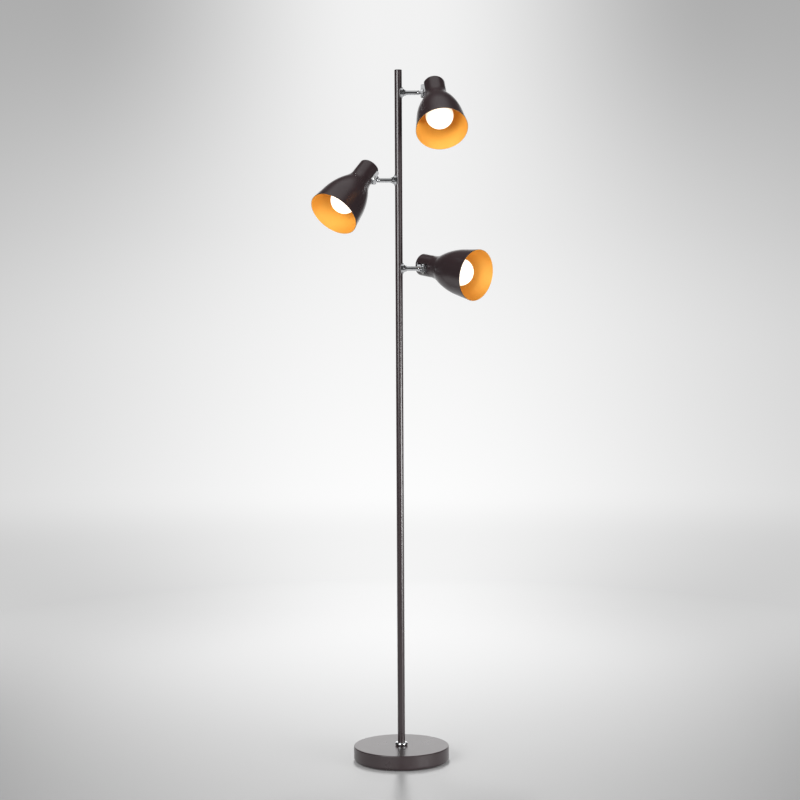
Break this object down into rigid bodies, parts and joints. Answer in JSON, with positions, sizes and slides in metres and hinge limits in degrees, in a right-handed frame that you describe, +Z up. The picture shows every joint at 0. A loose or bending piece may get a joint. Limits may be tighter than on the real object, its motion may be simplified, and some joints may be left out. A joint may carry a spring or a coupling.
{
  "type": "tree floor lamp",
  "caption": "Floor lamp with a round weighted base, a slim pole and bell shades on short side arms that roll on the pole and tilt on a slotted neck hinge.",
  "frame": {"origin": "centre of the base's underside, on the floor and on the pole's axis", "axes": "+Z up along the pole, +X to the side of the top and lowest arms, -Y to the front, where the shades open"},
  "size_m": [0.3924, 0.236, 1.518],
  "materials": {
    "black_paint": "satin black powder coat",
    "shade_paint": "satin black outside, gold lacquer inside",
    "chrome": "polished",
    "zinc_steel": "zinc plated",
    "cast_iron": "as cast, painted grey",
    "brass": "turned",
    "rubber": "matt, pebbled",
    "black_plastic": "moulded",
    "white_plastic": "moulded",
    "flex_sheath": "smooth",
    "bulb_glass": "opal, lit",
    "bulb_cap": "pressed screw shell"
  },
  "bodies": {
    "root": {"base_cover": "black_paint", "base_pad": "rubber", "base_weight": "cast_iron", "cord_bush": "black_plastic", "foot_bush": "zinc_steel", "foot_collar": "chrome", "foot_nut": "zinc_steel", "foot_stud": "zinc_steel", "foot_washer": "zinc_steel", "inner_flex": "flex_sheath", "low_arm_bearing": "brass", "low_rosette": "chrome", "lower_pole": "black_paint", "middle_arm_bearing": "brass", "middle_pole": "black_paint", "middle_rosette": "chrome", "pole_cap": "black_plastic", "pole_couplers": "zinc_steel", "top_arm_bearing": "brass", "top_rosette": "chrome", "upper_pole": "black_paint"},
    "top_arm": {"top_arm": "chrome", "top_arm_clip": "zinc_steel", "top_arm_lead": "flex_sheath"},
    "top_head": {"top_hinge_bracket": "chrome", "top_hinge_screw": "chrome", "top_hinge_nut": "chrome", "top_neck_cup": "black_paint", "top_cup_screw": "chrome", "top_lampholder": "white_plastic", "top_shade_ring": "white_plastic", "top_shade": "shade_paint", "top_bulb_glass": "bulb_glass", "top_bulb_cap": "bulb_cap"},
    "middle_arm": {"middle_arm": "chrome", "middle_arm_clip": "zinc_steel", "middle_arm_lead": "flex_sheath"},
    "middle_head": {"middle_hinge_bracket": "chrome", "middle_hinge_screw": "chrome", "middle_hinge_nut": "chrome", "middle_neck_cup": "black_paint", "middle_cup_screw": "chrome", "middle_lampholder": "white_plastic", "middle_shade_ring": "white_plastic", "middle_shade": "shade_paint", "middle_bulb_glass": "bulb_glass", "middle_bulb_cap": "bulb_cap"},
    "low_arm": {"low_arm": "chrome", "low_arm_clip": "zinc_steel", "low_arm_lead": "flex_sheath"},
    "low_head": {"low_hinge_bracket": "chrome", "low_hinge_screw": "chrome", "low_hinge_nut": "chrome", "low_neck_cup": "black_paint", "low_cup_screw": "chrome", "low_lampholder": "white_plastic", "low_shade_ring": "white_plastic", "low_shade": "shade_paint", "low_bulb_glass": "bulb_glass", "low_bulb_cap": "bulb_cap"}
  },
  "joints": [
    {"name": "top_arm_roll", "type": "hinge", "parent": "root", "child": "top_arm", "pos_m": [0, 0, 1.468], "axis": [1, 0, 0], "range_deg": [-123.5, 216.5]},
    {"name": "top_head_tilt", "type": "hinge", "parent": "top_arm", "child": "top_head", "pos_m": [0.053, 0, 1.468], "axis": [0, 0.6884, -0.7254], "range_deg": [-84.5, 5.5]},
    {"name": "middle_arm_roll", "type": "hinge", "parent": "root", "child": "middle_arm", "pos_m": [0, 0, 1.279], "axis": [-1, 0, 0], "range_deg": [-210, 130]},
    {"name": "middle_head_tilt", "type": "hinge", "parent": "middle_arm", "child": "middle_head", "pos_m": [-0.053, 0, 1.279], "axis": [0, -0.766, 0.6428], "range_deg": [-60.5, 29.5]},
    {"name": "low_arm_roll", "type": "hinge", "parent": "root", "child": "low_arm", "pos_m": [0, 0, 1.0872], "axis": [1, 0, 0], "range_deg": [-94, 246]},
    {"name": "low_head_tilt", "type": "hinge", "parent": "low_arm", "child": "low_head", "pos_m": [0.053, 0, 1.0872], "axis": [0, 0.2419, -0.9703], "range_deg": [-42.5, 47.5]}
  ]
}
